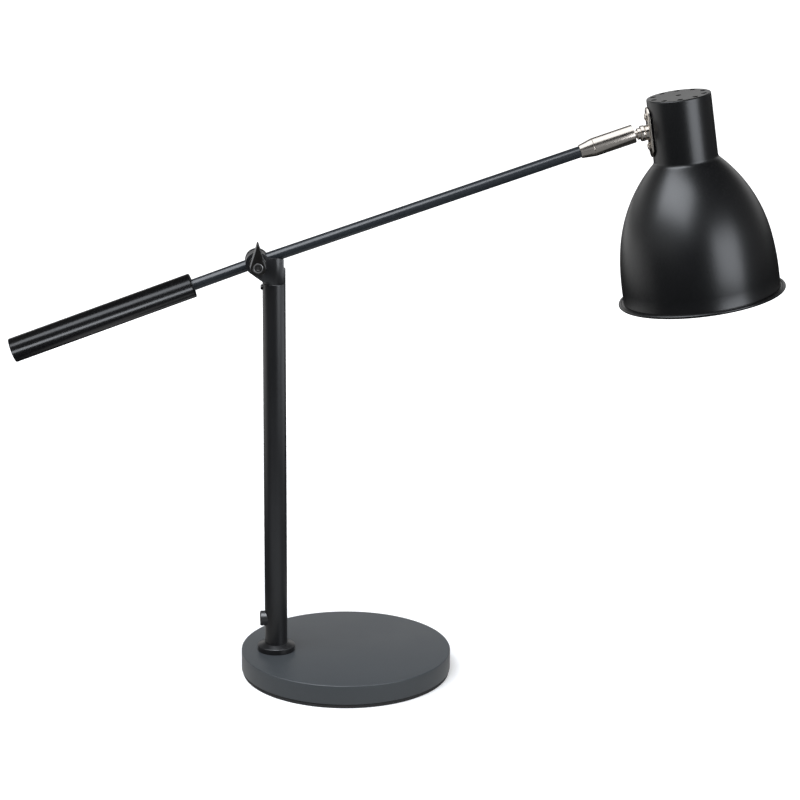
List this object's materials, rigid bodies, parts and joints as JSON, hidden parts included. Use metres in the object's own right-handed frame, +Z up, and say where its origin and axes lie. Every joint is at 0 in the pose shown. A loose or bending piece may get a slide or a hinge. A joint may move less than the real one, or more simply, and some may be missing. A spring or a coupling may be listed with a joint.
{
  "type": "desk lamp",
  "caption": "Counterweight balance desk lamp: weighted round base, straight post, tilting arm with bar counterweight, clamp lever and a bell shade on a ball joint.",
  "frame": {"origin": "centre of the base pad's underside, on the table", "axes": "+Z up, +X along the arm from the post towards the shade, the whole lamp in the plane y = 0"},
  "size_m": [0.6419, 0.1794, 0.4958],
  "materials": {
    "black_satin": "satin black powder coat",
    "black_shade": "satin black powder coat on spun aluminium",
    "black_arm": "semi-gloss black paint with a cool sheen",
    "black_gloss": "gloss black paint",
    "nickel": "bright nickel plate",
    "black_oxide": "blackened steel",
    "black_plastic": "moulded black plastic",
    "cast_iron": "raw casting",
    "foam": "matte foam sheet",
    "rubber": "matte",
    "zinc_steel": "zinc plated",
    "brass": "plain",
    "fibre": "vulcanised fibre",
    "nylon": "natural nylon",
    "holder_plastic": "moulded phenolic"
  },
  "bodies": {
    "stand": {"base_cover": "black_satin", "base_weight": "cast_iron", "base_pad": "foam", "cord_grommet": "rubber", "post_tube": "black_satin", "post_foot": "black_satin", "post_plug": "zinc_steel", "post_nipple": "zinc_steel", "nipple_washer": "zinc_steel", "lock_washer": "zinc_steel", "nipple_nut": "zinc_steel", "top_bush": "brass", "set_screw": "black_oxide", "switch_body": "black_plastic"},
    "button": {"switch_button": "black_plastic"},
    "head": {"pivot_head": "black_satin", "pivot_bolt": "black_oxide", "lever_washer": "black_oxide"},
    "lever": {"clamp_lever": "black_plastic", "lever_insert": "nickel"},
    "arm": {"arm_hub": "zinc_steel", "friction_washers": "fibre", "front_arm": "black_arm", "rear_arm": "black_arm", "counterweight": "black_gloss", "taper_collar": "nickel", "swivel_barrel": "nickel", "disc_spring": "zinc_steel"},
    "seat": {"ball_seat": "nylon"},
    "ball": {"ball_stud": "nickel", "stud_collar": "nickel", "stud_nut": "zinc_steel"},
    "shade": {"shade_shell": "black_shade", "mounting_plate": "nickel", "plate_screws": "nickel", "screw_nuts": "zinc_steel", "socket_bracket": "zinc_steel", "holder_nipple": "zinc_steel", "holder_nut": "zinc_steel", "lampholder": "holder_plastic", "screw_shell": "brass", "centre_contact": "brass"}
  },
  "joints": [
    {"name": "button_press", "type": "slide", "parent": "stand", "child": "button", "axis": [1, 0, 0], "range_m": [0, 0.0022], "stiffness_N_per_m": 900, "springref_m": -0.001},
    {"name": "head_turn", "type": "hinge", "parent": "stand", "child": "head", "pos_m": [-0.0595, 0, 0.3398], "axis": [0, 0, 1], "range_deg": [-155, 155]},
    {"name": "lever_turn", "type": "hinge", "parent": "head", "child": "lever", "pos_m": [-0.0732, 0, 0.3573], "axis": [0, -1, 0], "range_deg": [-30, 270]},
    {"name": "arm_tilt", "type": "hinge", "parent": "head", "child": "arm", "pos_m": [-0.0732, 0, 0.3573], "axis": [0, -1, 0], "range_deg": [-20, 55]},
    {"name": "ball_roll", "type": "hinge", "parent": "arm", "child": "seat", "pos_m": [0.22889, 0, 0.45885], "axis": [0.9479, 0, 0.3186], "range_deg": [-90, 90]},
    {"name": "ball_tilt", "type": "hinge", "parent": "seat", "child": "ball", "pos_m": [0.22889, 0, 0.45885], "axis": [0, -1, 0], "range_deg": [-10, 29]},
    {"name": "shade_spin", "type": "hinge", "parent": "ball", "child": "shade", "pos_m": [0.22889, 0, 0.45885], "axis": [0.9881, 0, 0.1538], "range_deg": [-90, 90]}
  ]
}
